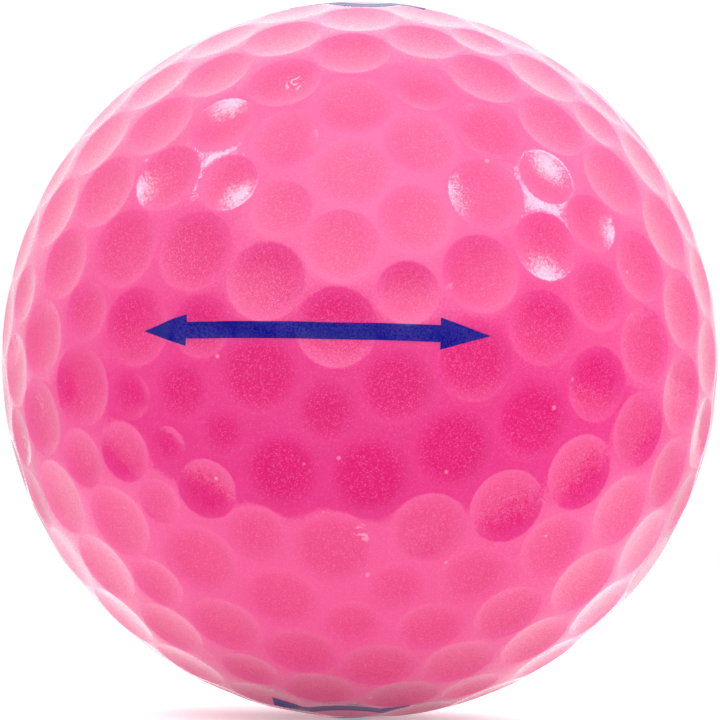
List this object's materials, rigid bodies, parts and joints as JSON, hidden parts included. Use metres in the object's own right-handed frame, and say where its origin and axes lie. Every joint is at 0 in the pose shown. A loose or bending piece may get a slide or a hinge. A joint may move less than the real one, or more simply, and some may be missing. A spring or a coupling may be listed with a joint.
{
  "type": "golf ball",
  "caption": "Two-piece golf ball: a rubber core in a dimpled pink pearl cover, with a printed alignment line and a play number on each pole.",
  "frame": {"origin": "centre of the ball", "axes": "+Z through the top play number, -Y through the middle of the side mark, +X to the right seen from -Y"},
  "size_m": [0.0426, 0.0427, 0.0428],
  "materials": {
    "core_rubber": "matt, filled polybutadiene rubber",
    "pearl_cover": "glossy pearl ionomer under a clear coat",
    "print_ink": "glossy printed ink under the clear coat"
  },
  "bodies": {
    "root": {"core": "core_rubber", "cover": "pearl_cover", "side_mark": "print_ink", "top_number": "print_ink", "bottom_number": "print_ink"}
  },
  "joints": []
}
